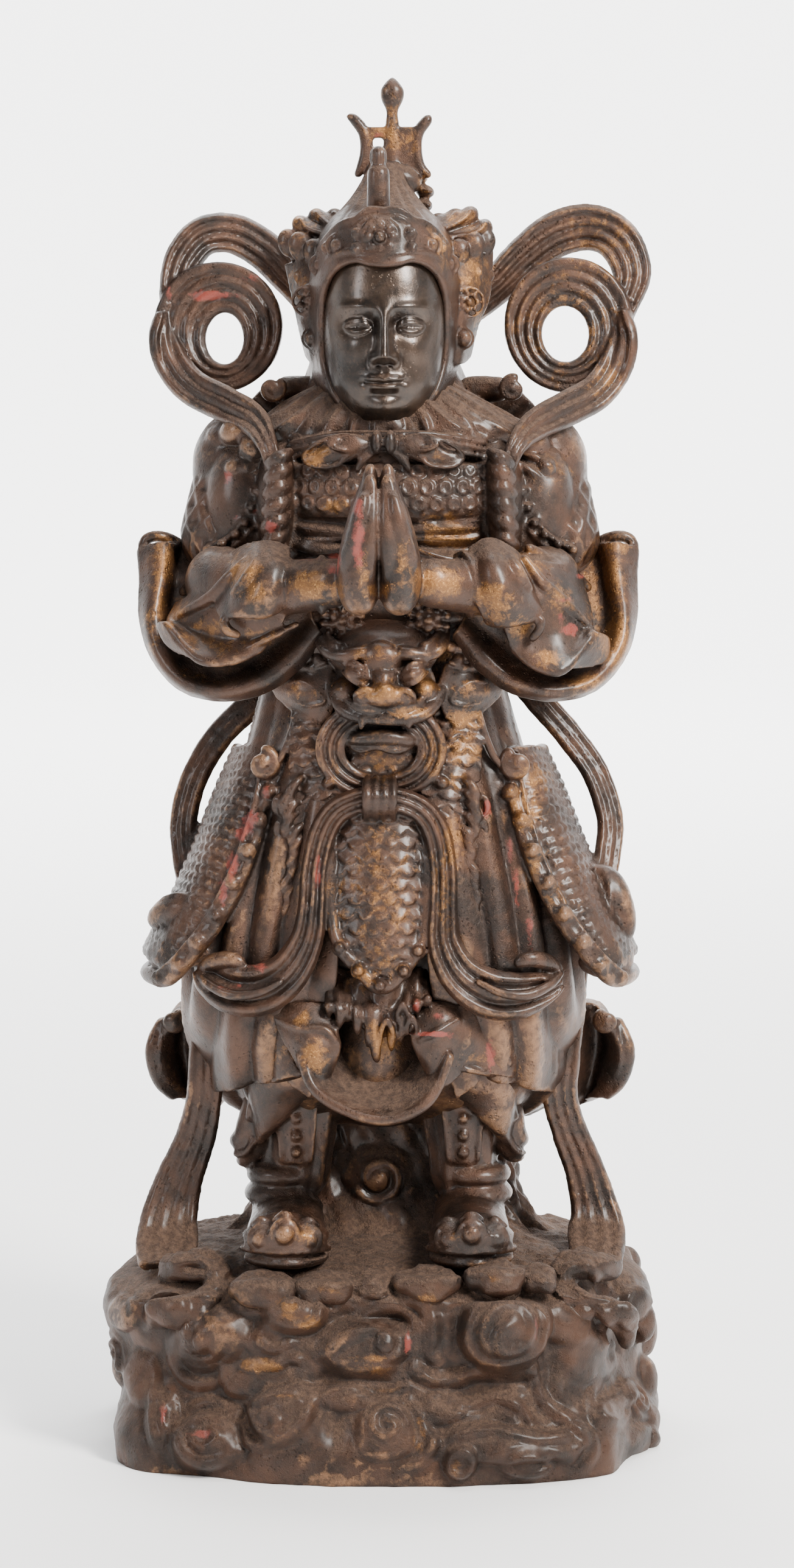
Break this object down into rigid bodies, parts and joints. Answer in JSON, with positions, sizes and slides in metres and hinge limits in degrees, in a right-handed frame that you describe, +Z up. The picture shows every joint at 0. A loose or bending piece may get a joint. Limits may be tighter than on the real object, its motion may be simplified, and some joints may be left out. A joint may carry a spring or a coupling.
{
  "type": "bronze guardian general statue",
  "caption": "Cast bronze guardian general in armour, palms pressed together, scarf coils beside the head, standing on a cloud and rock base.",
  "frame": {"origin": "on the flat underside of the base, below the figure's middle", "axes": "+Z up through the figure, -Y the way the figure faces, +X towards the figure's left hand"},
  "size_m": [0.2465, 0.213, 0.6007],
  "materials": {
    "aged_bronze": "dark brown patina with worn gilding, traces of red lacquer and dry earth in the hollows"
  },
  "bodies": {
    "root": {"guardian_statue": "aged_bronze"}
  },
  "joints": []
}
